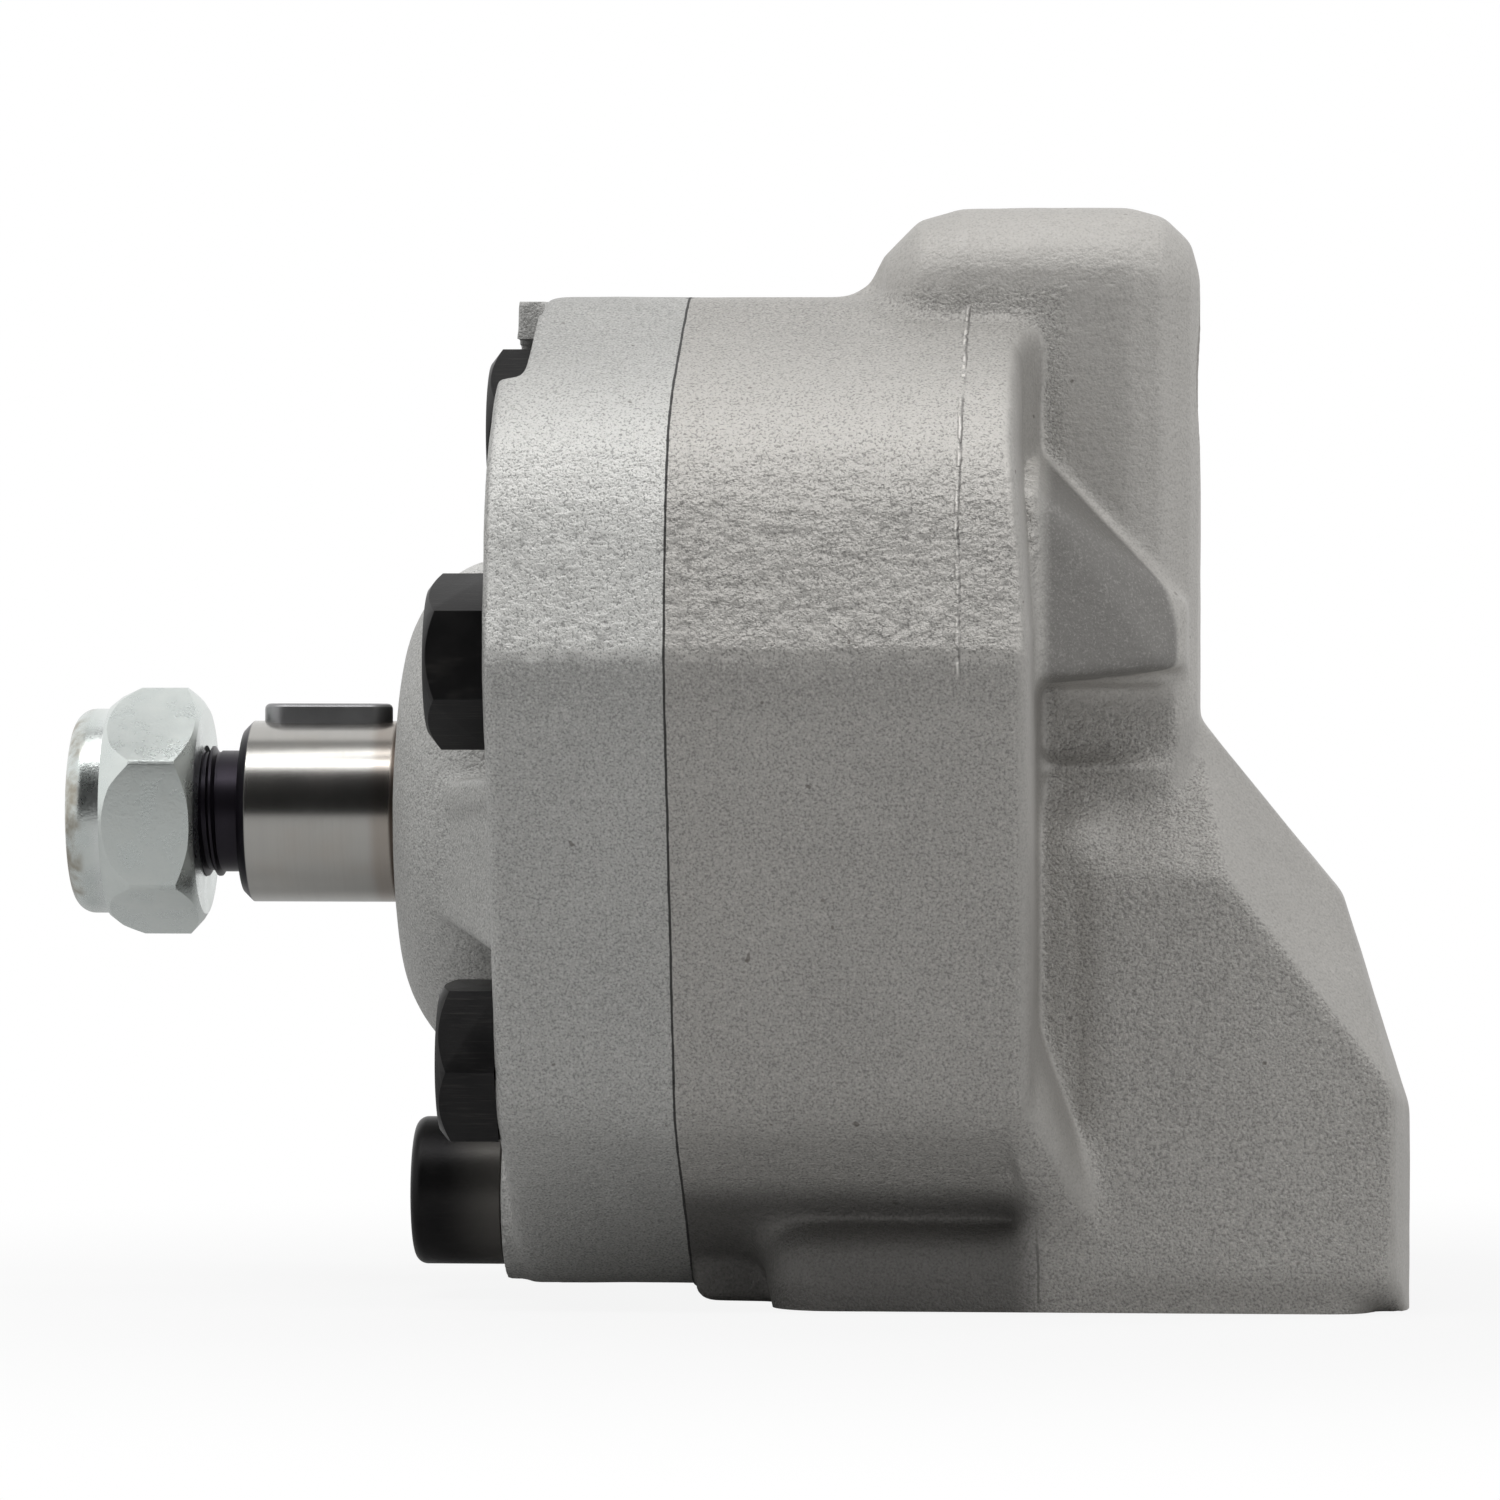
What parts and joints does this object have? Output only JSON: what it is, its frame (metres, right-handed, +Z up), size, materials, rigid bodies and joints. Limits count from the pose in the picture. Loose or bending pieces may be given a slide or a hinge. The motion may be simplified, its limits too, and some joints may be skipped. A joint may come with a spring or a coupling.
{
  "type": "hydraulic gear pump",
  "caption": "External gear pump with a cast body on a flat foot, a bolted front cover with a domed hub, and a keyed drive shaft with a lock nut.",
  "frame": {"origin": "centre of the foot's machined face", "axes": "+X along the shafts, away from the shaft end; +Y towards the drive shaft's side; +Z up"},
  "size_m": [0.1468, 0.0924, 0.1174],
  "materials": {
    "cover_casting": "bead-blasted casting, cool light grey",
    "body_casting": "as-cast skin with fine grain, warmer grey",
    "ground_steel": "ground and polished",
    "bronze": "machined",
    "bush_metal": "sintered bush metal",
    "seal_rubber": "matte black rubber",
    "spring_steel": "phosphated spring steel",
    "black_oxide": "black oxide with light tool marks",
    "key_steel": "dark drawn steel",
    "zinc_plate": "bluish zinc plate",
    "nylon": "off-white nylon"
  },
  "bodies": {
    "housing": {"front_cover": "cover_casting", "pump_body": "body_casting", "front_wear_plate": "bronze", "rear_wear_plate": "bronze", "drive_bush_front": "bush_metal", "driven_bush_front": "bush_metal", "drive_bush_rear": "bush_metal", "driven_bush_rear": "bush_metal", "inner_shaft_seal": "seal_rubber", "seal_spacer": "spring_steel", "outer_shaft_seal": "seal_rubber", "retaining_ring": "spring_steel", "cover_seal_ring": "seal_rubber", "plate_seal_ring": "seal_rubber", "dowel_pins": "ground_steel", "side_bolts": "black_oxide", "top_bolt": "black_oxide", "cap_screw": "black_oxide", "outlet_seal_ring": "seal_rubber"},
    "drive_shaft": {"drive_gear_shaft": "ground_steel", "shaft_key": "key_steel", "lock_nut": "zinc_plate", "lock_nut_insert": "nylon"},
    "driven_gear": {"driven_gear_shaft": "ground_steel"}
  },
  "joints": [
    {"name": "drive_spin", "type": "hinge", "parent": "housing", "child": "drive_shaft", "pos_m": [-0.03, 0.01375, 0.0525], "axis": [1, 0, 0], "continuous": true},
    {"name": "driven_spin", "type": "hinge", "parent": "housing", "child": "driven_gear", "pos_m": [-0.03, -0.01375, 0.0525], "axis": [1, 0, 0], "continuous": true}
  ],
  "couplings": [
    {"joint": "driven_spin", "follows": "drive_spin", "ratio": -1}
  ]
}
